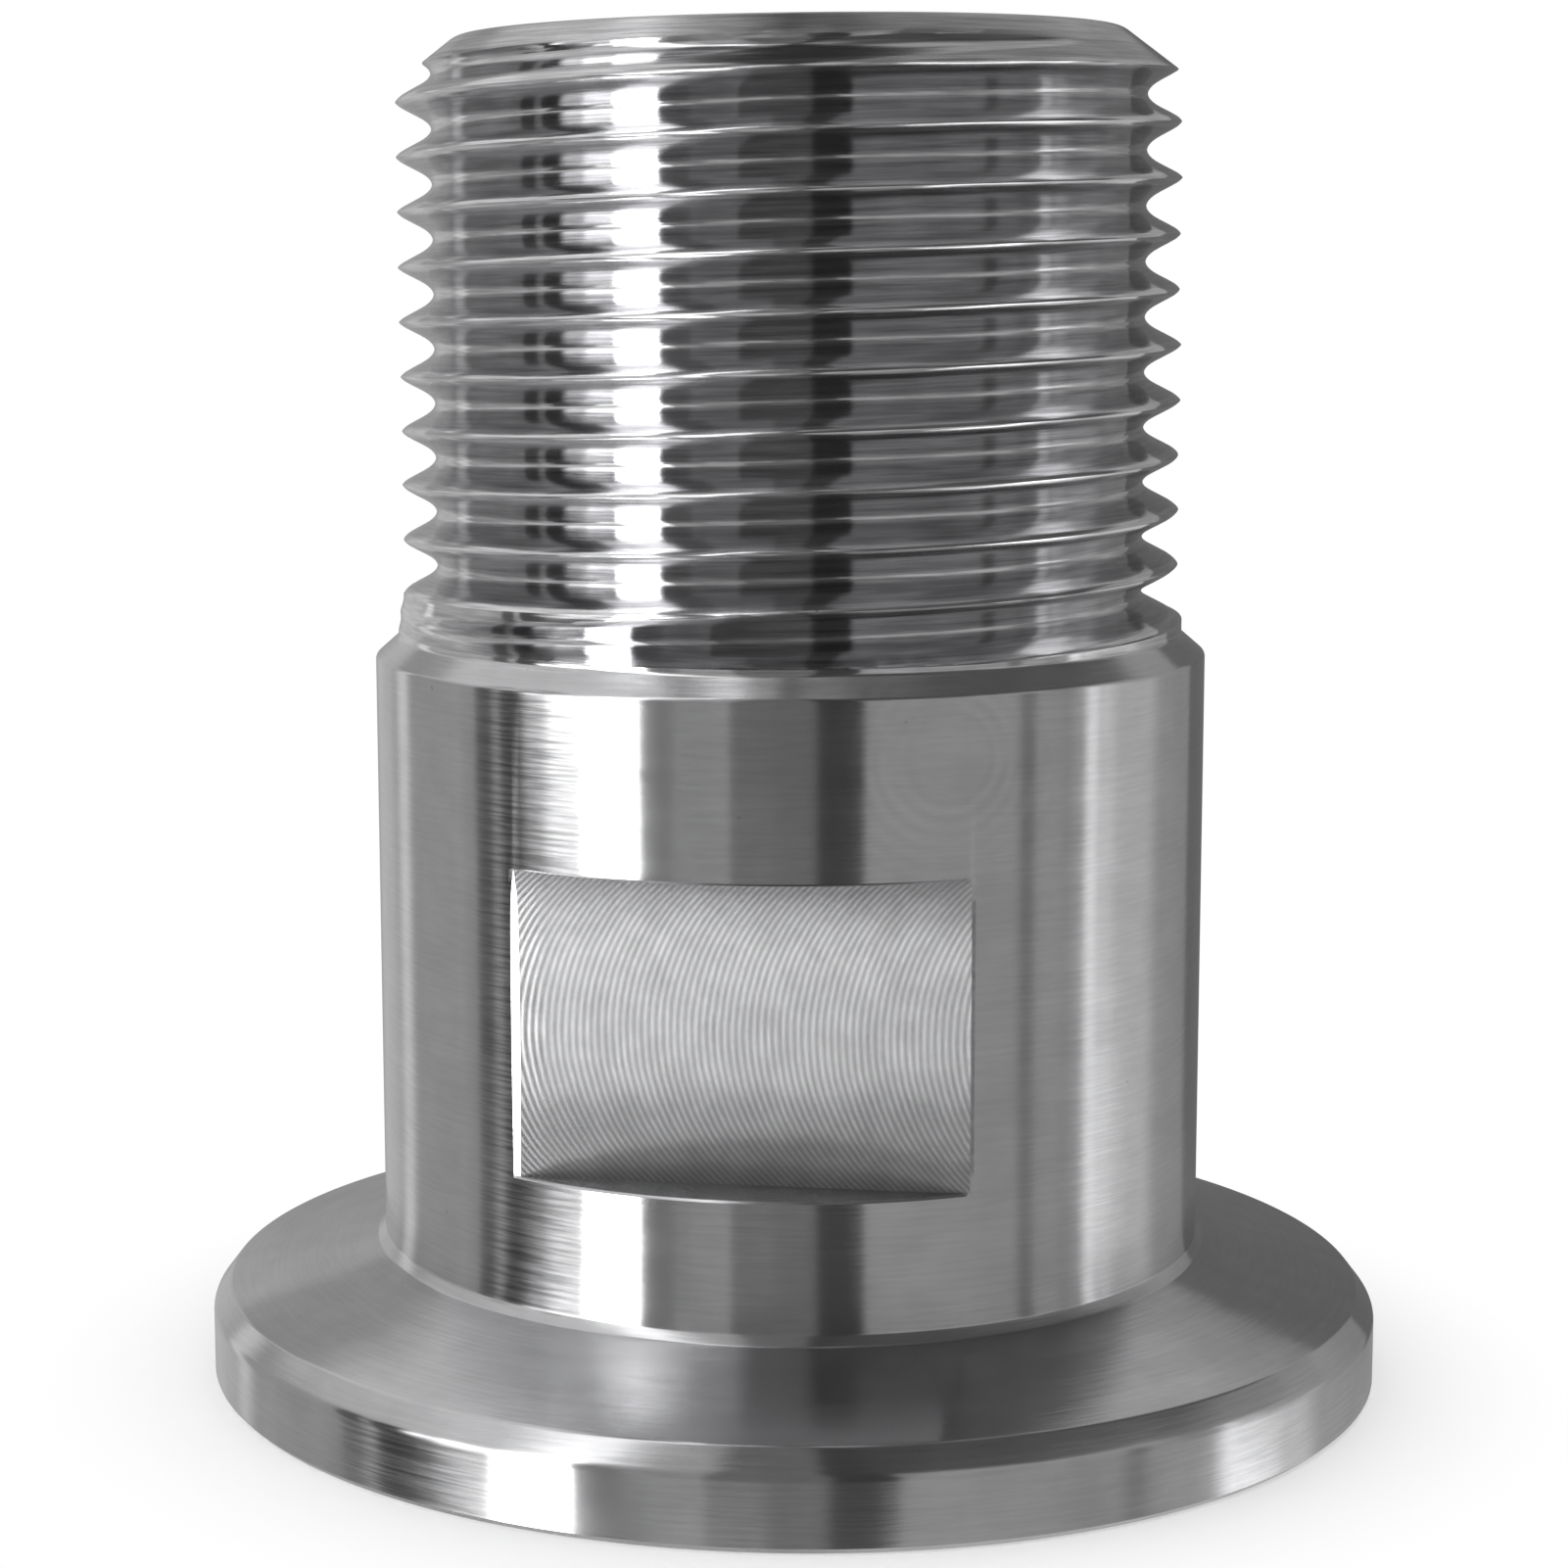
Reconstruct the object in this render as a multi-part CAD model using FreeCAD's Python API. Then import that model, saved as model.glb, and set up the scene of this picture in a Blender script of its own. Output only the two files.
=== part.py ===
import FreeCAD, Part
import os
from math import ceil, cos, radians, sin, tan

# Vacuum flange to pipe thread adapter, one solid turned and milled from bar. Millimetres and degrees.
# Z is the axis of the bore. The origin is the centre of the sealing face and the thread points up.

# Clamp flange, DN 25
flange_diameter = 40.0
rim_thickness = 3.0
rim_chamfer = 0.6
rim_edge_break = 0.2
clamp_taper = 15.0
neck_chamfer = 0.35

# Recess for the centring ring, and the bore right through
recess_diameter = 26.2
recess_depth = 3.0
recess_edge_break = 0.2
bore_diameter = 19.0
bore_edge_break = 0.5

# Round body and its two wrench flats
body_diameter = 28.0
body_height = 24.7
shoulder_height = 0.68
flat_depth = 2.0
flat_bottom = 9.1
flat_height = 9.9
flat_edge_break = 0.15
same_place = 0.001

# External pipe thread G 3/4: right-hand, 14 turns to the inch, 55 degree form
spigot_length = 19.9
thread_major_diameter = 26.44
thread_pitch = 25.4 / 14
thread_angle = 55.0
thread_depth_per_pitch = 0.6403
root_width_per_pitch = 1 / 6
end_chamfer_width = 2.2
end_chamfer_length = 1.7
runout_gap = 0.54
runout_azimuth = -167.0
runout_sweep = 82.0
mouth_overcut_per_pitch = 1 / 12
helix_points_per_turn = 16
fewest_helix_steps = 3

# Heights and radii that follow from them
body_radius = body_diameter / 2
spigot_radius = thread_major_diameter / 2
across_flats = body_diameter - 2 * flat_depth
shoulder_top = body_height + shoulder_height
overall_height = shoulder_top + spigot_length
neck_height = rim_thickness + (flange_diameter / 2 - body_radius) * tan(radians(clamp_taper))


def vector_at(radius, azimuth, height):
    """A point from its distance to the axis, its angle about the axis and its height."""
    return FreeCAD.Vector(radius * cos(radians(azimuth)), radius * sin(radians(azimuth)), height)


def turned_blank():
    """The whole adapter as it leaves the lathe, before the thread and the flats."""
    flange_radius = flange_diameter / 2
    recess_radius = recess_diameter / 2
    bore_radius = bore_diameter / 2
    along_taper = cos(radians(clamp_taper))
    up_taper = sin(radians(clamp_taper))
    section = [
        (recess_radius + recess_edge_break, 0),
        (flange_radius - rim_edge_break, 0),
        (flange_radius, rim_edge_break),
        (flange_radius, rim_thickness - rim_chamfer),
        (flange_radius - rim_chamfer * along_taper, rim_thickness + rim_chamfer * up_taper),
        (body_radius + neck_chamfer * along_taper, neck_height - neck_chamfer * up_taper),
        (body_radius, neck_height + neck_chamfer),
        (body_radius, body_height),
        (spigot_radius, shoulder_top),
        (spigot_radius, overall_height - end_chamfer_length),
        (spigot_radius - end_chamfer_width, overall_height),
        (bore_radius + bore_edge_break, overall_height),
        (bore_radius, overall_height - bore_edge_break),
        (bore_radius, recess_depth + bore_edge_break),
        (bore_radius + bore_edge_break, recess_depth),
        (recess_radius, recess_depth),
        (recess_radius, recess_edge_break),
    ]
    outline = Part.makePolygon([vector_at(radius, 0, height) for radius, height in section + section[:1]])
    return Part.Face(outline).revolve(FreeCAD.Vector(0, 0, 0), FreeCAD.Vector(0, 0, 1), 360)


def thread_groove():
    """The path of the threading tool: a V with a narrow flat root, wound down the spigot.

    It starts above the free end and is drawn out of the metal over the last part of a turn.
    """
    depth = thread_depth_per_pitch * thread_pitch
    slope = tan(radians(thread_angle / 2))
    root_radius = spigot_radius - depth
    root_half_width = root_width_per_pitch * thread_pitch / 2
    overcut = mouth_overcut_per_pitch * thread_pitch
    mouth_half_width = root_half_width + (depth + overcut) * slope
    section = [
        (root_radius, -root_half_width),
        (root_radius, root_half_width),
        (spigot_radius + overcut, mouth_half_width),
        (spigot_radius + overcut, -mouth_half_width),
    ]
    tip_height = shoulder_top + runout_gap
    full_turns = ceil((overall_height - tip_height) / thread_pitch)
    stops = [0, runout_sweep] + [runout_sweep + 360 * (turn + 1) for turn in range(full_turns)]

    def helix(radius, offset, start, end):
        """One stretch of the helix of a section corner, from angle to angle above the tip."""
        steps = max(fewest_helix_steps, round(helix_points_per_turn * (end - start) / 360))
        points = []
        for i in range(steps + 1):
            angle = start + (end - start) * i / steps
            drawn_out = max(0, 1 - angle / runout_sweep) * (depth + overcut)
            height = tip_height + thread_pitch * angle / 360 + offset
            points.append(vector_at(radius + drawn_out, runout_azimuth + angle, height))
        curve = Part.BSplineCurve()
        curve.interpolate(points)
        return curve.toShape()

    faces = []
    for start, end in zip(stops, stops[1:]):
        edges = [helix(radius, offset, start, end) for radius, offset in section]
        faces += [Part.makeRuledSurface(edges[i - 1], edges[i]) for i in range(len(edges))]
        corners = [edge.Vertexes[0].Point for edge in edges]
        if start == 0:
            faces.append(Part.Face(Part.makePolygon(corners + corners[:1])))
    corners = [edge.Vertexes[-1].Point for edge in edges]
    faces.append(Part.Face(Part.makePolygon(corners + corners[:1])))
    shell = Part.Shell(faces)
    shell.sewShape()
    groove = Part.Solid(shell)
    if groove.Volume < 0:
        groove.reverse()
    return groove


def wrench_pocket():
    """The metal milled away outside one wrench flat, on the side towards -Y."""
    half_width = body_diameter
    pocket = Part.makeBox(2 * half_width, body_diameter, flat_height)
    pocket.translate(FreeCAD.Vector(-half_width, -across_flats / 2 - body_diameter, flat_bottom))
    return pocket


def is_flat_side(edge):
    """Whether an edge is an upright side of a wrench flat."""
    ends = [vertex.Point for vertex in edge.Vertexes]
    if len(ends) < 2:
        return False
    upright = abs(abs(ends[0].z - ends[1].z) - flat_height) < same_place
    on_flat = all(abs(abs(end.y) - across_flats / 2) < same_place for end in ends)
    return upright and on_flat


def adapter():
    """The finished adapter."""
    pocket = wrench_pocket()
    opposite = pocket.rotated(FreeCAD.Vector(0, 0, 0), FreeCAD.Vector(0, 0, 1), 180)
    body = turned_blank().cut(pocket).cut(opposite)
    body = body.makeChamfer(flat_edge_break, [edge for edge in body.Edges if is_flat_side(edge)])
    return body.cut(thread_groove()).Solids[0]


os.makedirs("parts", exist_ok=True)
solid = adapter()
solid.exportStep("parts/adapter.step")
box = solid.BoundBox
print("adapter", "valid", solid.isValid(), "volume", round(solid.Volume, 1), "faces", len(solid.Faces))
print("box", [round(v, 3) for v in (box.XMin, box.XMax, box.YMin, box.YMax, box.ZMin, box.ZMax)])
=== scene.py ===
import bmesh
import bpy
import numpy as np
from mathutils import Matrix


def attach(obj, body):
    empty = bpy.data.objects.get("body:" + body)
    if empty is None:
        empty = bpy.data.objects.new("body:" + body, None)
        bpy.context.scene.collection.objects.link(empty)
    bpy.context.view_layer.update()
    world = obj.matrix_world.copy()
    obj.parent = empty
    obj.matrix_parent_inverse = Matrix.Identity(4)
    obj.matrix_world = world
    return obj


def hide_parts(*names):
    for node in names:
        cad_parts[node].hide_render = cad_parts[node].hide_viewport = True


# Looks of the vacuum flange threaded adapter. Sizes in the dictionaries are millimetres and degrees.
# The origin is the sealing face's centre, Z is the bore's axis and the front wrench flat looks along -Y.
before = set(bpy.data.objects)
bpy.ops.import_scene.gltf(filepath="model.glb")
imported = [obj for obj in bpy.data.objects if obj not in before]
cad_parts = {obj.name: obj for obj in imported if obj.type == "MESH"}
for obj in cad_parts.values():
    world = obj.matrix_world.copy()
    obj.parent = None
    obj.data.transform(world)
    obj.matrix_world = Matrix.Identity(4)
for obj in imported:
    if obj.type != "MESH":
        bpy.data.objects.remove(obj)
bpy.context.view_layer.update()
millimetre = 0.001

flange = {
    "radius": 20.0, "rimThickness": 3.0, "taper": 15.0, "lowerEdge": 0.2,
    "rimChamfer": 0.62, "rimRounding": 0.50, "crownRounding": 0.22,
    "neckChamfer": 0.26, "neckRounding": 0.14,
    "faceRow": 16.5, "taperRows": (17.8, 16.0),     # radii of extra rows on the sealing face and the taper
}
recess = {"radius": 13.1, "depth": 3.0, "edge": 0.2}
bore = {"radius": 9.5, "edge": 0.5, "rows": (30, 15)}     # heights of extra rows
body = {"radius": 14.0, "top": 24.7, "shoulderRise": 0.68, "shoulderRounding": 0.22}
flats = {
    "halfAcross": 12.0, "bottom": 9.1, "top": 19.0, "rows": 16, "ledgeEdge": 0.07,
    # widths of three plain upright edges and of the filed one at the front left, and the filed one's shares
    "sideEdge": 0.12, "filedEdge": 0.30, "filedSwell": 0.2, "filedRunout": 0.15, "filedLeast": 0.004,
    "steepest": 80,     # degrees from a flat's middle, beyond which its plane is out of reach anyway
}
thread = {
    "pitch": 25.4 / 14, "halfAngle": 27.5, "rootRadius": 11.86, "rootHalfWidth": 0.22, "rootSoftness": 0.46,
    "collarRadius": 13.22, "crestRadius": 13.06, "crestSoftness": 0.34,
    # the crest's waves as (size, rate, phase), and the heights over the tip where it leaves the collar
    "crestWander": 0.045, "wanderWaves": ((1.0, 3.1, 0), (0.7, 7.3, 1), (0.5, 17.7, 2)),
    "crestStart": -0.1, "crestReach": 0.9,
    "tipHeight": 25.92, "tipAzimuth": -167.0, "runoutSweep": 82.0, "overcut": 0.15,
    "base": 25.55, "top": 45.28, "endRounding": 0.80,
    "chamferWidth": 2.2, "chamferLength": 1.7, "chamferEdge": 0.05,
    # rows from a groove's middle to the crest
    "rowOffsets": [0, 0.09, 0.18, 0.27, 0.36, 0.46, 0.60, 0.73, 0.77, 0.81, 0.845, 0.88],
    "upperShare": 1e-6,     # turns, so that a row halfway between two grooves always goes to the upper one
}
grid = {"halfFlatColumns": 24, "sideColumns": 90, "mergeReach": 2e-4}
roundingSteps = {"rim": 6, "crown": 4, "neck": 4, "shoulder": 5, "collar": 4, "end": 6}


def roundedCorner(before, corner, after, radius, steps):
    # A rounding in the section: the arc that touches both lines. Its centre is on their bisector, at
    # radius / sin(half angle) from the corner.
    before, corner, after = (np.array(point, float) for point in (before, corner, after))
    back = (before - corner) / np.linalg.norm(before - corner)
    ahead = (after - corner) / np.linalg.norm(after - corner)
    halfAngle = np.arccos(back @ ahead) / 2
    bisector = (back + ahead) / np.linalg.norm(back + ahead)
    across = (ahead - back) / np.linalg.norm(ahead - back)
    centre = corner + bisector * radius / np.sin(halfAngle)
    turn = np.linspace(-1, 1, steps + 1)[:, None] * (np.pi / 2 - halfAngle)
    return centre + radius * (np.sin(turn) * across - np.cos(turn) * bisector)


def smoothLeast(first, second, width):
    # The lesser of two radii, their meeting rounded: least - near * near * width / 4, with
    # near = 1 - difference / width, or 0 where that is negative.
    near = np.maximum(1 - np.abs(first - second) / width, 0)
    return np.minimum(first, second) - near * near * width / 4


def smoothStep(value):
    # 0 to 1 along 3 t^2 - 2 t^3.
    t = np.clip(value, 0, 1)
    return t * t * (3 - 2 * t)


def creaseAngle():
    # Angle from a flat's middle to its upright edge: arccos(half across / body radius).
    return np.degrees(np.arccos(flats["halfAcross"] / body["radius"]))


def columns():
    # Azimuths of the grid's columns, once round from +Y. Each upright edge of a flat has a pair of columns,
    # marked +1 on the round side and -1 on the flat side; the other columns are marked 0.
    crease = creaseAngle()
    halfFlat, side = grid["halfFlatColumns"], grid["sideColumns"]
    stops = 90 + np.array([0, crease, 180 - crease, 180 + crease, 360 - crease, 360])
    counts = [halfFlat, side, 2 * halfFlat, side, halfFlat]
    spans = [np.linspace(a, b, n + 1) for a, b, n in zip(stops, stops[1:], counts)]
    azimuth = np.concatenate(spans)
    kind = np.zeros(len(azimuth))
    ends = np.cumsum([len(span) for span in spans])[:-1]
    kind[ends - 1] = [-1, 1, -1, 1]
    kind[ends] = [1, -1, 1, -1]
    return azimuth, kind


def bodyRows(radii, heights, edgeWidth):
    # Rows of the round body. A flat is r = half across / cos(a), a from its middle. An edge is the plane
    # halfway between flat and round, moved in by half its width times tan of half their angle. A pair's
    # columns stand where that plane ends.
    azimuth, kind = columns()
    fromMiddle = azimuth % 180 - 90
    halfTurn = np.arccos(flats["halfAcross"] / body["radius"]) / 2
    distance = body["radius"] * np.cos(halfTurn) - edgeWidth / 2 * np.tan(halfTurn)
    roundEnd = np.degrees(halfTurn + np.arccos(distance / body["radius"]))
    flatEnd = np.degrees(np.arctan((distance / flats["halfAcross"] - np.cos(halfTurn)) / np.sin(halfTurn)))
    lean = np.where(kind > 0, roundEnd, np.where(kind < 0, flatEnd, np.abs(fromMiddle)))
    azimuths = azimuth + np.sign(fromMiddle) * (lean - np.abs(fromMiddle))
    leanAngle = np.radians(np.minimum(lean, flats["steepest"]))
    cut = np.minimum(flats["halfAcross"] / np.cos(leanAngle), distance / np.cos(leanAngle - halfTurn))
    radius = np.clip(cut, radii[:, None], body["radius"])
    return radius, azimuths, np.broadcast_to(heights[:, None], radius.shape)


def flatRows():
    # The two wrench flats: a row under the lower ledge, its softened edge, the flat itself and the same again
    # on top. The filed edge is widest at mid height and runs out at its top: its width is
    # (1 - swell + swell sin(pi t)) sqrt((1 - t) / runout), the last share held between the least and 1.
    low, high, edge, full = flats["bottom"], flats["top"], flats["ledgeEdge"], body["radius"]
    inside = np.linspace(low, high, flats["rows"])
    heights = np.concatenate([[low - edge, low], inside, [high, high + edge]])
    radii = np.concatenate([[full, full - edge], np.zeros(len(inside)), [full - edge, full]])
    t = np.clip((heights[:, None] - low) / (high - low), 0, 1)
    swell = 1 - flats["filedSwell"] + flats["filedSwell"] * np.sin(np.pi * t)
    runout = np.sqrt(np.clip((1 - t) / flats["filedRunout"], flats["filedLeast"], 1))
    filed = flats["filedEdge"] * swell * runout
    azimuth, kind = columns()
    frontLeft = (kind != 0) & (np.abs(azimuth - (270 - creaseAngle())) < 1)
    return bodyRows(radii, heights, np.where(frontLeft, filed, flats["sideEdge"]))


def threadRadius(azimuth, height):
    # Radius of the threaded end. The nearest groove's middle, which is away by "away", climbs one pitch a
    # turn. Groove: the greater of the root and the flank, root + (away - root half width) / tan(half angle),
    # both lifted by (1 - turned / sweep) * depth where the tool is drawn out. Over it lie the crest, which
    # wanders by sine waves along the helix, and the end chamfer's cone. All meetings are rounded.
    pitch, root, tip = thread["pitch"], thread["rootRadius"], thread["tipHeight"]
    along = (azimuth - thread["tipAzimuth"]) / 360
    rise = (height - tip) / pitch - along + thread["upperShare"]
    groove = np.round(rise)
    away = np.abs(rise - groove) * pitch
    turnedAngle = 360 * (along + groove)
    depth = thread["crestRadius"] - root + thread["overcut"]
    drawnOut = (1 - turnedAngle / thread["runoutSweep"]).clip(0) * depth
    flank = root + (away - thread["rootHalfWidth"]) / np.tan(np.radians(thread["halfAngle"]))
    form = -smoothLeast(-flank, -root * np.ones_like(away), thread["rootSoftness"]) + drawnOut
    crestShare = smoothStep((height - tip - thread["crestStart"]) / thread["crestReach"])
    helixAngle = np.radians(azimuth + 360 * np.floor(rise))
    wander = sum(size * np.sin(rate * helixAngle + phase) for size, rate, phase in thread["wanderWaves"])
    crestRadius = thread["crestRadius"] + thread["crestWander"] * wander * crestShare
    crest = thread["collarRadius"] + (crestRadius - thread["collarRadius"]) * crestShare
    slope = thread["chamferWidth"] / thread["chamferLength"]
    endCone = thread["collarRadius"] - thread["chamferWidth"] + (thread["top"] - height) * slope
    return smoothLeast(smoothLeast(form, crest, thread["crestSoftness"]), endCone, thread["chamferEdge"])


def endRounding():
    # The rounded edge between the end chamfer and the end face, inwards, as points (radius, height).
    edge = (thread["collarRadius"] - thread["chamferWidth"], thread["top"])
    below = (thread["collarRadius"], thread["top"] - thread["chamferLength"])
    inwards = (bore["radius"], thread["top"])
    return roundedCorner(below, edge, inwards, thread["endRounding"], roundingSteps["end"])


def threadRows():
    # Rows that climb with the groove: height = tip + pitch * turns + offset, held between the collar and the
    # end face. Once round, a row arrives one pitch higher, where another row starts, so the sheet closes.
    azimuth, kind = columns()
    pitch, base = thread["pitch"], thread["base"]
    upper = np.array(thread["rowOffsets"])
    oneTurn = np.concatenate([[-pitch / 2], -upper[:0:-1], upper])
    start = thread["tipHeight"] + pitch * (azimuth - thread["tipAzimuth"]) / 360
    lastRadius, last = endRounding()[0]
    turns = np.arange(np.floor((base - start.max()) / pitch) - 1, np.ceil((last - start.min()) / pitch) + 2)
    offsets = (turns[:, None] * pitch + oneTurn).ravel()
    heights = np.clip(start + offsets[:, None], base, last)
    azimuths = np.broadcast_to(azimuth, heights.shape)
    radius = threadRadius(azimuths, heights)
    radius[heights >= last] = lastRadius
    radius[heights <= base] = thread["collarRadius"]
    return radius, azimuths, heights


def turnedRows(section):
    # Plain rows of revolution, one for each point (radius, height) of the section.
    azimuth, kind = columns()
    section = np.array(section, float)
    shape = (len(section), len(azimuth))
    return [np.broadcast_to(values, shape) for values in (section[:, :1], azimuth, section[:, 1:])]


def taperHeight(radius):
    # Height of the flange's back: rim thickness + (flange radius - radius) * tan(taper).
    return flange["rimThickness"] + (flange["radius"] - radius) * np.tan(np.radians(flange["taper"]))


def lowerSection():
    # The sealing face, the rim, the taper and the neck, as points (radius, height).
    lean = np.radians(flange["taper"])
    along, up = np.cos(lean), np.sin(lean)
    outer, thick = flange["radius"], flange["rimThickness"]
    width, neckWidth = flange["rimChamfer"], flange["neckChamfer"]
    neckHeight = taperHeight(body["radius"])
    rimFoot, rimCrown = (outer, thick - width), (outer - width * along, thick + width * up)
    neckFoot = (body["radius"] + neckWidth * along, neckHeight - neckWidth * up)
    neckTop = (body["radius"], neckHeight + neckWidth)
    shoulder = (body["radius"], body["top"])
    face = [(recess["radius"] + recess["edge"], 0), (flange["faceRow"], 0)]
    face += [(outer - flange["lowerEdge"], 0), (outer, flange["lowerEdge"])]
    rim = list(roundedCorner(face[-1], rimFoot, rimCrown, flange["rimRounding"], roundingSteps["rim"]))
    rim += list(roundedCorner(rimFoot, rimCrown, neckFoot, flange["crownRounding"], roundingSteps["crown"]))
    taper = [(radius, taperHeight(radius)) for radius in flange["taperRows"]]
    neck = list(roundedCorner(rimCrown, neckFoot, neckTop, flange["neckRounding"], roundingSteps["neck"]))
    neck += list(roundedCorner(neckFoot, neckTop, shoulder, flange["neckRounding"], roundingSteps["neck"]))
    return face + rim + taper + neck


def shoulderSection():
    # The sloping ring between the body and the thread.
    foot = (body["radius"], taperHeight(body["radius"]))
    shoulder = (body["radius"], body["top"])
    collar = (thread["collarRadius"], body["top"] + body["shoulderRise"])
    above = (collar[0], thread["top"])
    rounding = body["shoulderRounding"]
    ring = list(roundedCorner(foot, shoulder, collar, rounding, roundingSteps["shoulder"]))
    return ring + list(roundedCorner(shoulder, collar, above, rounding, roundingSteps["collar"]))


def insideSection():
    # Over the end face, down the bore and round the recess, back to the first point.
    wide, narrow, outer = bore["radius"] + bore["edge"], bore["radius"], recess["radius"]
    section = list(endRounding()) + [(wide, thread["top"]), (narrow, thread["top"] - bore["edge"])]
    section += [(narrow, height) for height in bore["rows"]]
    section += [(narrow, recess["depth"] + bore["edge"]), (wide, recess["depth"])]
    return section + [(outer, recess["depth"]), (outer, recess["edge"]), (outer + recess["edge"], 0)]


def closedSheet(name, parts):
    # A mesh from rows of (radius, azimuth, height), each vertex at (r cos a, r sin a, z). The last column
    # lies on the first and the last row on the first row, so merging what coincides closes the skin.
    radius, azimuth, height = (np.concatenate([part[i] for part in parts]) for i in range(3))
    angle = np.radians(azimuth)
    vertices = np.stack([radius * np.cos(angle), radius * np.sin(angle), height], axis=-1) * millimetre
    index = np.arange(radius.size).reshape(radius.shape)
    corners = [index[:-1, :-1], index[:-1, 1:], index[1:, 1:], index[1:, :-1]]
    quads = np.stack(corners, axis=-1).reshape(-1, 4)
    mesh = bpy.data.meshes.new(name)
    mesh.vertices.add(radius.size)
    mesh.vertices.foreach_set("co", vertices.ravel())
    mesh.loops.add(quads.size)
    mesh.loops.foreach_set("vertex_index", quads.ravel())
    mesh.polygons.add(len(quads))
    mesh.polygons.foreach_set("loop_start", np.arange(0, quads.size, 4))
    mesh.update(calc_edges=True)
    work = bmesh.new()
    work.from_mesh(mesh)
    bmesh.ops.remove_doubles(work, verts=work.verts[:], dist=grid["mergeReach"] * millimetre)
    bmesh.ops.recalc_face_normals(work, faces=work.faces[:])
    work.to_mesh(mesh)
    openEdges = sum(not edge.is_manifold for edge in work.edges)
    work.free()
    print(name, "faces", len(mesh.polygons), "open edges", openEdges)
    return mesh


def meshValues(items, name, count, kind=float):
    # One property of all vertices, edges or faces of a mesh, in rows of count numbers.
    values = np.empty(len(items) * count, kind)
    items.foreach_get(name, values)
    return values.reshape(-1, count)


shading = {
    "sharpAngle": 24.0,     # an edge that bends more is shown sharp, and so are the flats' upright edges
    "creaseReach": 0.22, "uprightSlope": 2.0, "pocketReach": 0.01,
    "flatReach": 0.003, "flatFacing": 0.999,     # a face so near a flat's plane and so square to Y is milled
}


def markCreases(mesh):
    # Shows the flats' upright edges sharp: those that climb over slope times their run near a flat's end.
    reach, spare = shading["creaseReach"], shading["pocketReach"]
    corners = meshValues(mesh.vertices, "co", 3) / millimetre
    first, second = corners[meshValues(mesh.edges, "vertices", 2, int).T]
    run = np.hypot(first[:, 0] - second[:, 0], first[:, 1] - second[:, 1])
    upright = np.abs(first[:, 2] - second[:, 2]) > shading["uprightSlope"] * run
    creaseX = np.sqrt(body["radius"] ** 2 - flats["halfAcross"] ** 2)
    nearX = np.abs(np.abs(first[:, 0]) - creaseX) < reach
    nearY = np.abs(np.abs(first[:, 1]) - flats["halfAcross"]) < reach
    inPocket = np.minimum(first[:, 2], second[:, 2]) > flats["bottom"] - spare
    inPocket &= np.maximum(first[:, 2], second[:, 2]) < flats["top"] + spare
    sharp = mesh.attributes.get("sharp_edge") or mesh.attributes.new("sharp_edge", "BOOLEAN", "EDGE")
    marked = meshValues(sharp.data, "value", 1, bool).ravel()
    sharp.data.foreach_set("value", marked | (upright & nearX & nearY & inPocket))


def markMilled(mesh):
    # Gives the faces of the two flats the second material.
    centres = meshValues(mesh.polygons, "center", 3) / millimetre
    normals = meshValues(mesh.polygons, "normal", 3)
    milled = np.abs(np.abs(centres[:, 1]) - flats["halfAcross"]) < shading["flatReach"]
    milled &= np.abs(normals[:, 1]) > shading["flatFacing"]
    milled &= (centres[:, 2] > flats["bottom"]) & (centres[:, 2] < flats["top"])
    mesh.polygons.foreach_set("material_index", milled.astype(np.int32))
    print("milled faces", int(milled.sum()))


def makeAdapter():
    # One closed sheet of rows: from the recess's edge round the outside, over the end and through the bore.
    sections = (lowerSection(), shoulderSection(), insideSection())
    below, between, within = (turnedRows(section) for section in sections)
    mesh = closedSheet("adapterSkin", [below, flatRows(), between, threadRows(), within])
    piece = bpy.data.objects.new("adapterSkin", mesh)
    bpy.context.scene.collection.objects.link(piece)
    mesh.shade_smooth()
    mesh.set_sharp_from_angle(angle=np.radians(shading["sharpAngle"]))
    markCreases(mesh)
    markMilled(mesh)
    mesh.update()
    return piece


adapter = makeAdapter()
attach(adapter, "root")
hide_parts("adapter")
print("adapter skin made")


def addNode(tree, kind, inputs=None, **settings):
    # One node. An input is a plain value or the output of another node.
    made = tree.nodes.new(kind)
    for name, value in settings.items():
        setattr(made, name, value)
    for socket, value in (inputs or {}).items():
        if isinstance(value, bpy.types.NodeSocket):
            tree.links.new(value, made.inputs[socket])
        else:
            made.inputs[socket].default_value = value
    return made


def maths(tree, operation, *values, clamp=False):
    inputs = dict(enumerate(values))
    return addNode(tree, "ShaderNodeMath", inputs, operation=operation, use_clamp=clamp).outputs[0]


def product(tree, first, *others):
    for value in others:
        first = maths(tree, "MULTIPLY", first, value)
    return first


def combined(tree, *values):
    return addNode(tree, "ShaderNodeCombineXYZ", dict(enumerate(values))).outputs[0]


def ramp(tree, value, fromLow, fromHigh, toLow=0.0, toHigh=1.0):
    # A smooth step from one value to another.
    inputs = {0: value, 1: fromLow, 2: fromHigh, 3: toLow, 4: toHigh}
    return addNode(tree, "ShaderNodeMapRange", inputs, interpolation_type="SMOOTHSTEP").outputs[0]


def noise(tree, vector, scale, detail, w=None):
    inputs = {"Vector": vector, "Scale": scale, "Detail": detail}
    if w is not None:
        inputs["W"] = w
    kind = "3D" if w is None else "4D"
    return addNode(tree, "ShaderNodeTexNoise", inputs, noise_dimensions=kind).outputs[0]


def mixed(tree, factor, first, second):
    return addNode(tree, "ShaderNodeMix", {0: factor, 2: first, 3: second}, data_type="FLOAT").outputs[0]


def mixedColour(tree, factor, first, second):
    first, second = (value + (1,) if isinstance(value, tuple) else value for value in (first, second))
    return addNode(tree, "ShaderNodeMix", {0: factor, 6: first, 7: second}, data_type="RGBA").outputs[2]


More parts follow.
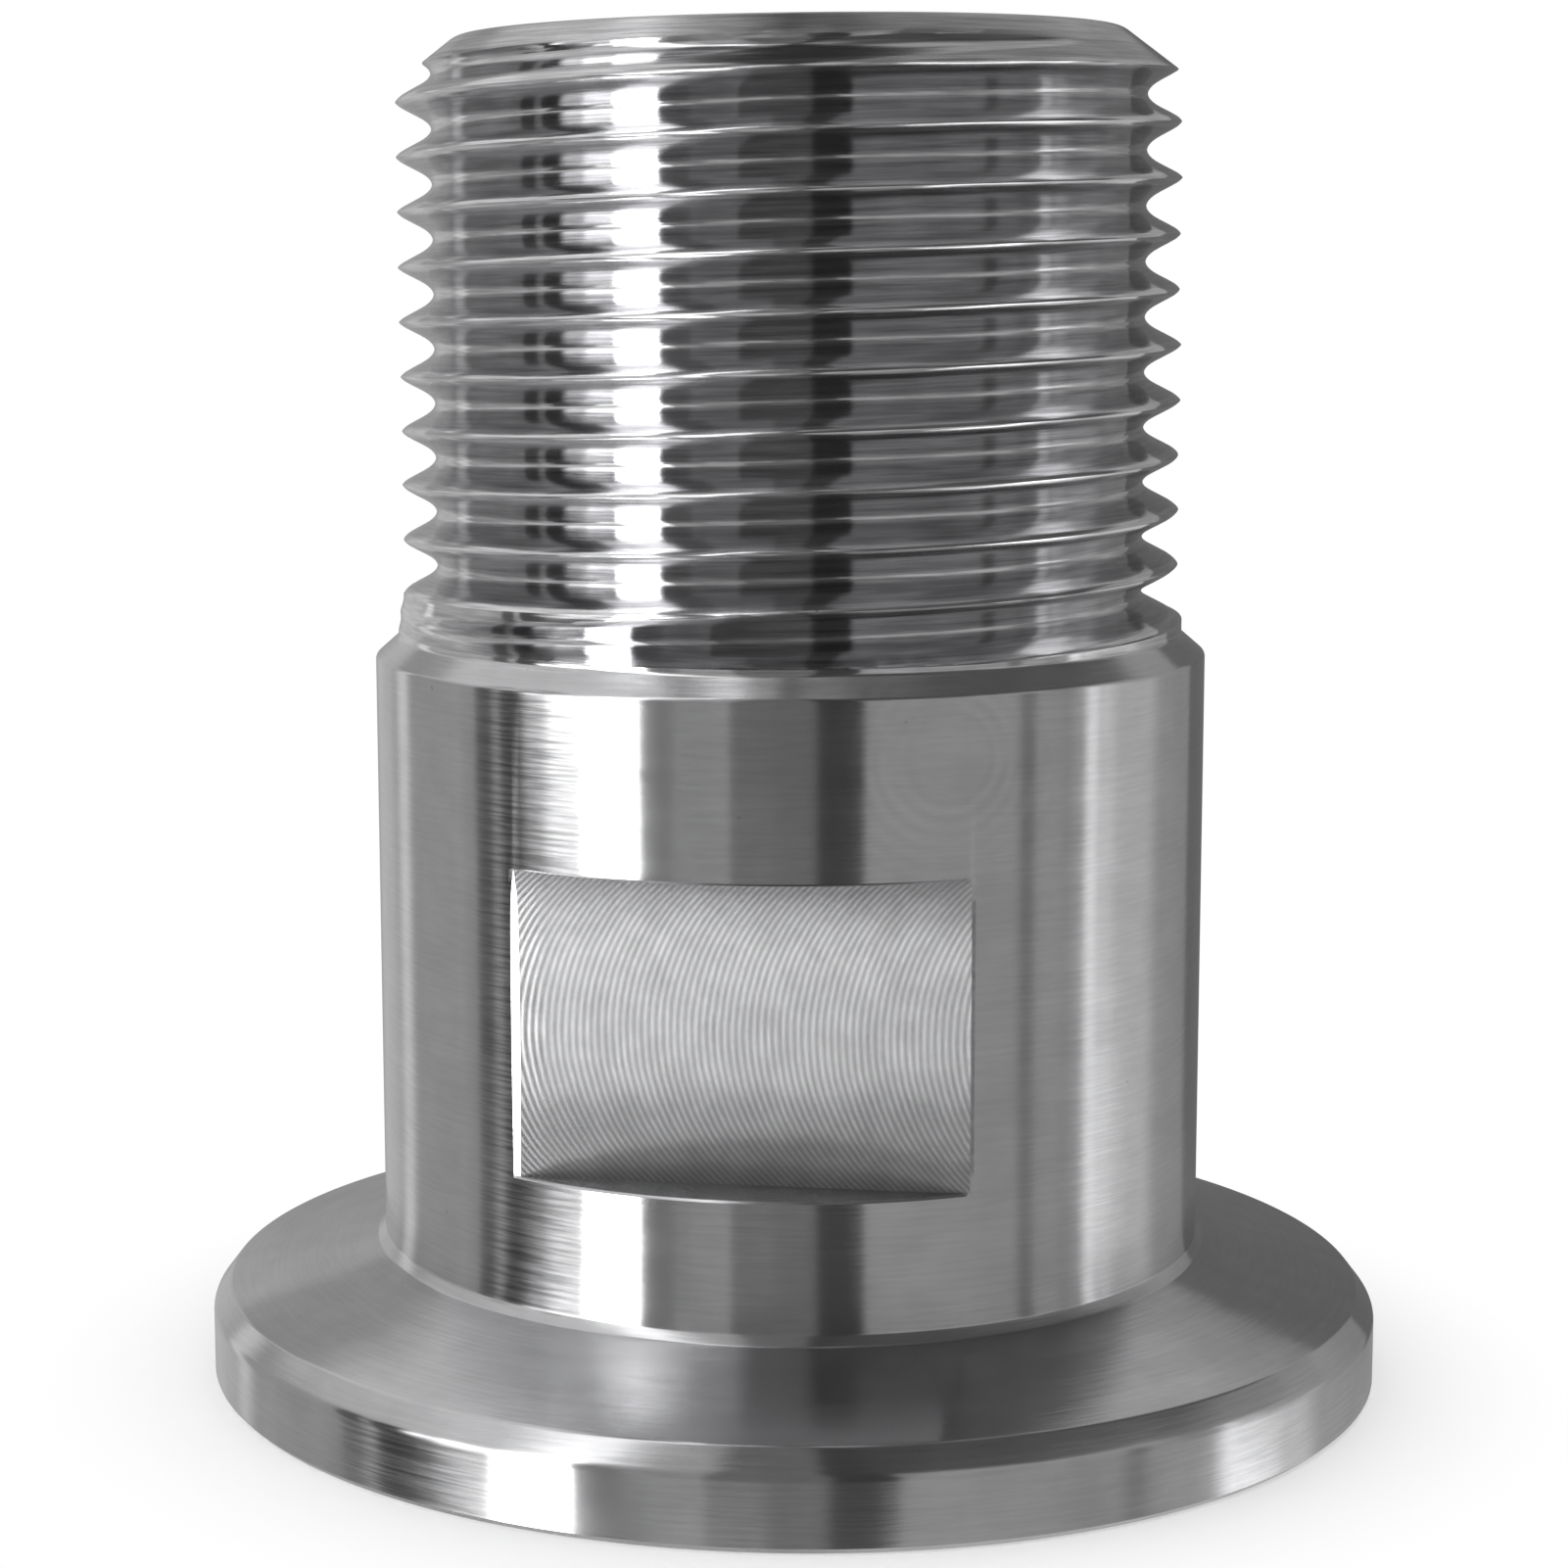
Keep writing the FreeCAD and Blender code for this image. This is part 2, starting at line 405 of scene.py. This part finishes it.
def distanceFrom(tree, value, middle):
    return maths(tree, "ABSOLUTE", maths(tree, "SUBTRACT", value, middle))


def panelMask(tree, azimuth, centre, halfWidth, softness):
    # 1 within half a width of the centre and 0 outside.
    away = distanceFrom(tree, azimuth, centre)
    return ramp(tree, away, halfWidth + softness / 2, halfWidth - softness / 2)


def newMaterial(name):
    material = bpy.data.materials.new(name)
    material.use_nodes = True
    tree = material.node_tree
    tree.nodes.clear()
    return material, tree


def showSurface(tree, surface):
    addNode(tree, "ShaderNodeOutputMaterial", {"Surface": surface})


def objectPlace(tree):
    # Object coordinates in millimetres, and the distance from the bore's axis.
    coordinates = addNode(tree, "ShaderNodeTexCoord").outputs["Object"]
    inputs = {0: coordinates, "Scale": 1 / millimetre}
    place = addNode(tree, "ShaderNodeVectorMath", inputs, operation="SCALE").outputs[0]
    x, y, z = addNode(tree, "ShaderNodeSeparateXYZ", {0: place}).outputs
    level = combined(tree, x, y)
    radius = addNode(tree, "ShaderNodeVectorMath", {0: level}, operation="LENGTH").outputs["Value"]
    return place, x, y, z, radius


def degreesOf(tree, opposite, adjacent):
    return maths(tree, "MULTIPLY", maths(tree, "ARCTAN2", opposite, adjacent), 180 / np.pi)


def azimuthOf(tree, x, y):
    # Degrees about the bore's axis, from -Y to the right.
    return degreesOf(tree, x, maths(tree, "MULTIPLY", y, -1.0))


def steelSurface(tree, finish, colour, value, roughness, tangent, height, depth):
    # Bare metal: colour times value, reflections stretched along the tangent, relief of height times depth.
    tint = addNode(tree, "ShaderNodeHueSaturation", {"Color": colour, "Value": value}).outputs[0]
    relief = {"Height": height, "Distance": depth * millimetre, "Strength": 1.0}
    bump = addNode(tree, "ShaderNodeBump", relief).outputs[0]
    steel = addNode(tree, "ShaderNodeBsdfPrincipled", {
        "Base Color": tint, "Metallic": 1.0, "Roughness": roughness, "Anisotropic": finish["anisotropic"],
        "Anisotropic Rotation": finish["rotation"], "Tangent": tangent, "Normal": bump})
    showSurface(tree, steel.outputs[0])


# A tuple of four in these dictionaries is a smooth step: from one value to another, and what it gives at
# either. Where a tuple has the first two only, the step goes from 0 to 1 or as the code says.
# The thread's darker colour is painted shade of its grooves, and the paler colour of its crests and roots is
# a painted highlight.
turned = {
    "colour": (0.60, 0.60, 0.61), "threadShadeColour": (0.47, 0.47, 0.48), "crestHighlightColour": (0.74, 0.74, 0.75),
    "roughness": 0.17, "threadRoughness": 0.11, "chamferRoughness": 0.27,
    "anisotropic": 1.0, "rotation": 0.25,
    "threadEdge": 0.4, "chamferReach": (0.08, 0.04),
    "crestHighlight": (12.70, 12.88, 0.0, 1.0), "rootHighlight": (11.99, 11.91, 0.0, 0.6),     # by radius
}
lathe = {
    "linesPerMillimetre": 8.0, "dragPerMillimetre": 0.45, "depth": 0.0053,
    "shade": (0.3, 0.7, 0.962, 1.03), "threadShade": (0.35, 0.65, 0.82, 1.12),
    "streakScale": 0.12, "streakDrag": 0.03, "streakRoughness": (0.3, 0.7, -0.02, 0.02),
}
stains = {
    "mottleScale": 0.55, "mottleShade": (0.3, 0.7, 0.96, 1.04),
    "speckScale": 3.1, "specks": (0.76, 0.82, 0.0, 1.0), "speckColour": (0.42, 0.42, 0.43),
}
# Painted shade: each flat's lower ledge is darkened in its colour to stand for the shade it lies in.
ledge = {"shade": 0.30, "halfHeight": (0.03, 0.01), "inward": (0.05, 0.12)}     # each flat's lower ledge
# Painted reflection: light and dark streaks in the colour beside the strip light's reflection.
paintedStreaks = {
    "middle": -28.5, "half": 7.0, "softness": 7.0, "perDegree": 0.09, "thickness": 0.13,
    "shade": (0.34, 0.62, 0.58, 1.10), "bodyReach": (0.10, 0.05), "rimReach": (0.06, 0.02),
}
swirl = {
    "place": (6.5, -12.4, 22.8), "step": 0.50, "shade": 0.035, "fade": (5.0, 2.0), "eye": (1.0, 1.5),
    "patchScale": 0.45, "patches": (0.42, 0.58, 0.25, 1.0),
}


def paintedReflectionStreaks(tree, azimuth, z, radius):
    # Painted reflection streaks on the body and the rim, left of the strip light's reflection, as a factor on
    # the colour.
    turn = maths(tree, "MULTIPLY", azimuth, paintedStreaks["perDegree"])
    rise = maths(tree, "MULTIPLY", z, 1 / paintedStreaks["thickness"])
    shade = ramp(tree, noise(tree, combined(tree, turn, rise), scale=1.0, detail=3.0), *paintedStreaks["shade"])
    onBody = ramp(tree, distanceFrom(tree, radius, body["radius"]), *paintedStreaks["bodyReach"])
    onRim = ramp(tree, radius, *(flange["radius"] - reach for reach in paintedStreaks["rimReach"]))
    onRound = maths(tree, "ADD", onBody, onRim, clamp=True)
    where = panelMask(tree, azimuth, paintedStreaks["middle"], paintedStreaks["half"], paintedStreaks["softness"])
    return mixed(tree, product(tree, onRound, where), 1.0, shade)


def swirlMarks(tree, place):
    # Faint rings about one place, 1 + shade * sin(2 pi distance / step), with a plain eye and in patches.
    inputs = {0: place, 1: swirl["place"]}
    away = addNode(tree, "ShaderNodeVectorMath", inputs, operation="DISTANCE").outputs["Value"]
    rings = maths(tree, "SINE", maths(tree, "MULTIPLY", away, 2 * np.pi / swirl["step"]))
    strength = ramp(tree, away, *swirl["fade"], 0.0, swirl["shade"])
    patches = ramp(tree, noise(tree, place, scale=swirl["patchScale"], detail=1.0), *swirl["patches"])
    outside = product(tree, ramp(tree, away, *swirl["eye"]), patches)
    return maths(tree, "ADD", product(tree, rings, strength, outside), 1.0)


def paintedLedgeShade(tree, z, radius):
    # Painted shade: darkens the lower ledge of the flats, near its height and inside the body's radius.
    onLedge = ramp(tree, distanceFrom(tree, z, flats["bottom"]), *ledge["halfHeight"])
    inside = ramp(tree, radius, *(body["radius"] - inward for inward in ledge["inward"]))
    return mixed(tree, product(tree, onLedge, inside), 1.0, ledge["shade"])


def onEndChamfer(tree, z, radius):
    # 1 near the end chamfer's cone, radius = collar - width + (top - z) * width / length.
    slope = thread["chamferWidth"] / thread["chamferLength"]
    atZero = thread["collarRadius"] - thread["chamferWidth"] + thread["top"] * slope
    coneRadius = maths(tree, "ADD", maths(tree, "MULTIPLY", z, -slope), atZero)
    return ramp(tree, distanceFrom(tree, radius, coneRadius), *turned["chamferReach"])


def turnedSteel():
    # Lathe lines are noise with a fine step across the axis and a long one round it. The thread is darker, as
    # painted shade of its grooves, with painted highlights on its crests and roots. Everything else is a
    # factor on the colour.
    material, tree = newMaterial("turnedSteel")
    place, x, y, z, radius = objectPlace(tree)
    azimuth = azimuthOf(tree, x, y)
    fine, slow = lathe["linesPerMillimetre"], lathe["dragPerMillimetre"]
    steps = ((radius, fine), (z, fine), (x, slow))
    around = combined(tree, *(maths(tree, "MULTIPLY", part, step) for part, step in steps))
    lines = noise(tree, around, scale=1.0, detail=4.0, w=maths(tree, "MULTIPLY", y, slow))
    streakTurn = maths(tree, "MULTIPLY", y, lathe["streakDrag"])
    streaks = noise(tree, around, scale=lathe["streakScale"], detail=2.0, w=streakTurn)
    mottle = noise(tree, place, scale=stains["mottleScale"], detail=3.0)
    specks = ramp(tree, noise(tree, place, scale=stains["speckScale"], detail=2.0), *stains["specks"])
    onThread = ramp(tree, z, thread["base"] - turned["threadEdge"], thread["base"])
    # Painted highlights on the crests and roots, painted shade on the rest of the thread.
    crestHighlight, rootHighlight = (ramp(tree, radius, *turned[name]) for name in ("crestHighlight", "rootHighlight"))
    ridgeHighlight = maths(tree, "MAXIMUM", crestHighlight, rootHighlight)
    threadShade = mixedColour(tree, ridgeHighlight, turned["threadShadeColour"], turned["crestHighlightColour"])
    colour = mixedColour(tree, onThread, turned["colour"], threadShade)
    colour = mixedColour(tree, specks, colour, stains["speckColour"])
    plainLines, threadLines = (ramp(tree, lines, *lathe[name]) for name in ("shade", "threadShade"))
    lineShade = mixed(tree, onThread, plainLines, threadLines)
    # This value carries the ledges' painted shade and the painted reflection streaks.
    value = product(
        tree, ramp(tree, mottle, *stains["mottleShade"]), paintedLedgeShade(tree, z, radius), lineShade,
        paintedReflectionStreaks(tree, azimuth, z, radius), swirlMarks(tree, place))
    finish = mixed(tree, onThread, turned["roughness"], turned["threadRoughness"])
    finish = mixed(tree, onEndChamfer(tree, z, radius), finish, turned["chamferRoughness"])
    roughness = maths(tree, "ADD", ramp(tree, streaks, *lathe["streakRoughness"]), finish)
    tangent = addNode(tree, "ShaderNodeTangent", direction_type="RADIAL", axis="Z").outputs[0]
    height = maths(tree, "MULTIPLY", lines, lathe["depth"])
    steelSurface(tree, turned, colour, value, roughness, tangent, height, depth=1.0)
    return material


milling = {
    "colour": (0.60, 0.60, 0.61), "roughness": 0.27, "anisotropic": 1.0, "rotation": 0.0,
    "arcRadius": 6.5, "arcHeight": 13.94, "feed": 0.23, "wander": 2.0, "wanderScale": 0.8,
    "depth": 0.0038, "waveShare": 0.38, "grainShare": 0.20, "grainPerMillimetre": 5.0, "grainDrag": 0.5,
    "heavy": (-6.1, -6.6, 1.0, 2.6),     # deeper marks at the end where the cutter came in
    "mottleScale": 1.2, "mottleShade": (0.3, 0.7, 0.94, 1.06), "waveShade": (-1.0, 1.0, 0.84, 1.11),
}


def milledSteel():
    # The face mill's marks: arcs of one radius that follow each other by the feed, so the pattern's phase
    # is x + sqrt(R^2 - s^2), s the height over the arcs' middle. The tangent points away from an arc's
    # centre.
    material, tree = newMaterial("milledSteel")
    place, x, y, z, radius = objectPlace(tree)
    side = maths(tree, "SIGN", y)
    across = maths(tree, "MULTIPLY", x, maths(tree, "MULTIPLY", side, -1.0))
    offset = maths(tree, "SUBTRACT", z, milling["arcHeight"])
    inward = maths(tree, "SUBTRACT", milling["arcRadius"] ** 2, maths(tree, "POWER", offset, 2.0))
    inward = maths(tree, "SQRT", inward)
    phase = maths(tree, "ADD", across, inward)
    wander = noise(tree, place, scale=milling["wanderScale"], detail=2.0)
    steps = maths(tree, "MULTIPLY", phase, 2 * np.pi / milling["feed"])
    bend = maths(tree, "MULTIPLY", wander, milling["wander"])
    wave = maths(tree, "SINE", maths(tree, "ADD", steps, bend))
    grainPlace = combined(
        tree, maths(tree, "MULTIPLY", phase, milling["grainPerMillimetre"]),
        maths(tree, "MULTIPLY", offset, milling["grainDrag"]))
    grain = maths(tree, "MULTIPLY", noise(tree, grainPlace, scale=1.0, detail=3.0), milling["grainShare"])
    marks = maths(tree, "ADD", maths(tree, "MULTIPLY", wave, milling["waveShare"]), grain)
    height = maths(tree, "MULTIPLY", marks, ramp(tree, across, *milling["heavy"]))
    direction = combined(tree, maths(tree, "MULTIPLY", inward, side), 0.0, offset)
    tangent = addNode(tree, "ShaderNodeVectorMath", {0: direction}, operation="NORMALIZE").outputs[0]
    mottle = noise(tree, place, scale=milling["mottleScale"], detail=4.0)
    mottleShade = ramp(tree, mottle, *milling["mottleShade"])
    value = product(tree, mottleShade, ramp(tree, wave, *milling["waveShade"]))
    colour = milling["colour"] + (1,)
    steelSurface(tree, milling, colour, value, milling["roughness"], tangent, height, milling["depth"])
    return material


adapter.data.materials.append(turnedSteel())
adapter.data.materials.append(milledSteel())
print("steel made")

# The studio: a tent of grey panels round the object, seen only in the metal. Azimuths are degrees from the
# camera, to its right. The tent has rings one above the other. Each takes over from the one below between
# "bottom" and "bottom" + "fade", and holds panels (azimuth, half width, softness, brightness), each laid
# over the ones before it. The uprights stand in front of all rings: (azimuth, half width, softness, bottom,
# top, fade at the bottom, brightness).
tent = {
    "radius": 900.0, "turn": 6.876, "subdivisions": 5, "topFade": 12.0,
    "rings": [
        {"bottom": -91.0, "fade": 1.0, "base": 0.46, "panels": [
            (-107, 12, 16, 0.33), (-87.5, 2.5, 1.5, 0.58), (-79.5, 5.5, 1.5, 0.085), (-70.5, 4, 4, 0.17),
            (-62, 4.5, 5, 0.45), (-49.5, 6.6, 1, 4.20), (-33, 6, 3, 0.25), (2, 6, 3, 0.29),
            (12.8, 5.5, 3, 0.14), (64, 12, 16, 0.33), (135, 32, 10, 0.55), (101, 9, 5, 2.10),
            (114, 6, 10, 1.10)]},
        {"bottom": -21.5, "fade": 4.5, "base": 0.37, "panels": [
            (-150, 12, 14, 0.56), (-132, 4, 6, 0.80), (-112, 12, 14, 0.40), (-101, 2, 3, 0.42),
            (-90, 3.2, 2, 0.12), (-85, 1.3, 0.8, 0.38), (-78.5, 5.2, 1.2, 0.085), (-71, 2.5, 3, 0.24),
            (-63.5, 5.5, 6, 0.90), (-48.5, 7.6, 1, 2.20), (-35, 5, 1.5, 0.21), (-24, 6, 8, 0.34),
            (-6, 9, 0.7, 0.23), (12.5, 6.2, 3.5, 0.07), (67, 2.4, 3, 0.20), (80, 2, 3, 0.32),
            (89.5, 2.5, 3, 1.05), (96, 4, 5, 0.75), (108, 10, 10, 0.60), (146, 15, 16, 0.32)]},
        {"bottom": 18.0, "fade": 3.0, "base": 0.37, "panels": [
            (-95, 40, 6, 0.62), (54, 27, 8, 0.48), (102, 23, 8, 0.30), (-48.5, 8, 2, 3.00)]},
        {"bottom": 32.0, "fade": 5.0, "base": 0.26, "panels": [
            (-118, 68, 10, 0.74), (-48.5, 8, 2, 1.90), (-36, 4, 4, 0.70), (-24, 7, 6, 0.45),
            (16, 30, 4, 0.08), (54, 12, 8, 0.08), (100, 38, 12, 0.10), (160, 20, 10, 0.55)]},
        {"bottom": 64.0, "fade": 10.0, "base": 0.16, "panels": [(-48.5, 8, 2, 3.00)]},
        {"bottom": 79.0, "fade": 5.0, "base": 0.55, "panels": [
            (-48.5, 9, 3, 1.50), (-177.4, 26, 6, 0.08), (177.4, 26, 6, 0.08)]},
    ],
    "uprights": [
        (2.6, 17.6, 0.7, -20.0, 96.0, 10.0, 0.18),     # the dark screen in front, and its darker edge
        (14.0, 6.2, 2.5, -20.0, 96.0, 10.0, 0.06),
        (180.0, 15.0, 4.0, 45.0, 96.0, 10.0, 0.05),     # a dark screen high up behind, across 180 degrees
        (-180.0, 15.0, 4.0, 45.0, 96.0, 10.0, 0.05),
        (-71.0, 4.5, 4.0, 1.0, 16.0, 2.0, 2.40),     # lights that only the thread's grooves see
        (-61.0, 6.0, 3.0, 1.0, 16.0, 2.0, 5.20),
        (-61.0, 6.0, 3.0, -60.0, -28.0, 2.0, 3.00),
        (114.0, 14.0, 8.0, 1.0, 16.0, 2.0, 0.40),
        (-48.5, 7.6, 1.0, -21.5, 16.0, 1.0, 9.00),     # the strip light
    ],
}


def glowingSurface(tree, strength):
    return addNode(tree, "ShaderNodeEmission", {"Color": (1, 1, 1, 1), "Strength": strength}).outputs[0]


def placeSheet(name, mesh, material, unseenBy):
    # An object of the studio that no lamp sampling looks for and that the named kinds of rays pass.
    material.cycles.emission_sampling = "NONE"
    mesh.materials.append(material)
    made = bpy.data.objects.new(name, mesh)
    bpy.context.scene.collection.objects.link(made)
    for rays in unseenBy:
        setattr(made, "visible_" + rays, False)
    return made


def tentCloth():
    # Brightness by azimuth and elevation: the rings from the bottom up, then the uprights.
    material, tree = newMaterial("tentCloth")
    place, x, y, z, radius = objectPlace(tree)
    azimuth = maths(tree, "SUBTRACT", azimuthOf(tree, x, y), tent["turn"])
    azimuth = maths(tree, "WRAP", azimuth, 180.0, -180.0)
    elevation = degreesOf(tree, z, radius)
    light = 0.0
    for ring in tent["rings"]:
        ringLight = ring["base"]
        for *panel, brightness in ring["panels"]:
            ringLight = mixed(tree, panelMask(tree, azimuth, *panel), ringLight, brightness)
        share = ramp(tree, elevation, ring["bottom"], ring["bottom"] + ring["fade"])
        light = mixed(tree, share, light, ringLight)
    for *panel, bottom, top, fade, brightness in tent["uprights"]:
        above = ramp(tree, elevation, bottom - fade / 2, bottom + fade / 2)
        below = ramp(tree, elevation, top + tent["topFade"] / 2, top - tent["topFade"] / 2)
        share = product(tree, panelMask(tree, azimuth, *panel), above, below)
        light = mixed(tree, share, light, brightness)
    showSurface(tree, glowingSurface(tree, light))
    return material


def makeTent():
    # A ball round everything, which only reflected rays see.
    mesh = bpy.data.meshes.new("lightTent")
    ball = bmesh.new()
    bmesh.ops.create_icosphere(ball, subdivisions=tent["subdivisions"], radius=tent["radius"] * millimetre)
    ball.to_mesh(mesh)
    ball.free()
    mesh.shade_smooth()
    return placeSheet("lightTent", mesh, tentCloth(), ("camera", "diffuse", "shadow"))


card = {
    "distance": 160.0, "from": 138.0, "to": 179.0, "columns": 25,
    "bottom": -38.0, "top": 84.0, "brightness": 0.16,
}


def makeCard():
    # A low dark card behind the object on the right: a strip of a cylinder, with azimuths as in the tent.
    azimuth = np.radians(np.linspace(card["from"], card["to"], card["columns"]) + tent["turn"])
    across = np.stack([np.sin(azimuth), -np.cos(azimuth)], axis=-1) * card["distance"]
    heights = (card["bottom"], card["top"])
    rows = [np.column_stack([across, np.full(len(across), height)]) for height in heights]
    count = len(across)
    first = np.arange(count - 1)
    faces = np.stack([first, first + 1, first + 1 + count, first + count], axis=-1)
    mesh = bpy.data.meshes.new("darkCard")
    mesh.from_pydata((np.concatenate(rows) * millimetre).tolist(), [], faces.tolist())
    material, tree = newMaterial("cardPaper")
    showSurface(tree, glowingSurface(tree, card["brightness"]))
    return placeSheet("darkCard", mesh, material, ("camera", "diffuse", "shadow"))


floor = {
    "reach": 1500.0, "drop": 0.02, "pale": (0.99, 0.99, 0.99), "white": 1.0,
    "shaded": (19.5, 27.0, 0.35, 1.0),     # from this radius to that, and the share of plain white at either
}


def makeFloor():
    # A plain pale sheet, clear from below. Its shade is real near the object and goes over to plain white
    # further out.
    mesh = bpy.data.meshes.new("paleFloor")
    corners = ((-1, -1), (1, -1), (1, 1), (-1, 1))
    reach, drop = floor["reach"] * millimetre, floor["drop"] * millimetre
    mesh.from_pydata([(x * reach, y * reach, -drop) for x, y in corners], [], [(0, 1, 2, 3)])
    material, tree = newMaterial("palePaper")
    place, x, y, z, radius = objectPlace(tree)
    paper = addNode(tree, "ShaderNodeBsdfDiffuse", {"Color": floor["pale"] + (1,)}).outputs[0]
    white = glowingSurface(tree, floor["white"])
    plain = ramp(tree, radius, *floor["shaded"])
    blend = addNode(tree, "ShaderNodeMixShader", {0: plain, 1: paper, 2: white}).outputs[0]
    clear = addNode(tree, "ShaderNodeBsdfTransparent").outputs[0]
    under = addNode(tree, "ShaderNodeNewGeometry").outputs["Backfacing"]
    showSurface(tree, addNode(tree, "ShaderNodeMixShader", {0: under, 1: blend, 2: clear}).outputs[0])
    return placeSheet("paleFloor", mesh, material, ("glossy", "shadow"))


makeTent()
makeCard()
makeFloor()
world = bpy.data.worlds.new("whiteRoom")
world.use_nodes = True
world.node_tree.nodes["Background"].inputs["Color"].default_value = (1, 1, 1, 1)
world.node_tree.nodes["Background"].inputs["Strength"].default_value = 1.0
world.cycles.sampling_method = "NONE"
bpy.context.scene.world = world
bpy.context.scene.view_settings.view_transform = "Standard"
print("studio made")

camera = {
    "distance": 120.475, "height": 38.339, "turn": 6.876, "yaw": -3.929, "pitch": 8.611, "roll": -0.621,
    "lens": 81.41, "sensor": 36.0, "shift": 0.1515, "nearest": 5.0, "furthest": 5000.0,
}


def makeCamera():
    # The camera stands turned round the axis by "turn" from the front. It looks along yaw and pitch and is
    # rolled about that line.
    data = bpy.data.cameras.new("camera")
    made = bpy.data.objects.new("camera", data)
    bpy.context.scene.collection.objects.link(made)
    turn, yaw, pitch, roll = (np.radians(camera[name]) for name in ("turn", "yaw", "pitch", "roll"))
    heading = yaw - turn
    forward = np.array([np.sin(heading) * np.cos(pitch), np.cos(heading) * np.cos(pitch), -np.sin(pitch)])
    right = np.array([np.cos(heading), -np.sin(heading), 0])
    up = np.cross(right, forward)
    right, up = right * np.cos(roll) + up * np.sin(roll), up * np.cos(roll) - right * np.sin(roll)
    level = camera["distance"] * np.array([np.sin(turn), -np.cos(turn)])
    where = np.append(level, camera["height"])
    rows = [[right[i], up[i], -forward[i], where[i] * millimetre] for i in range(3)]
    made.matrix_world = Matrix(rows + [[0, 0, 0, 1]])
    data.sensor_fit = "HORIZONTAL"
    data.sensor_width = camera["sensor"]
    data.lens = camera["lens"]
    data.shift_x = camera["shift"]
    data.clip_start = camera["nearest"] * millimetre
    data.clip_end = camera["furthest"] * millimetre
    bpy.context.scene.camera = made


makeCamera()
print("camera placed")
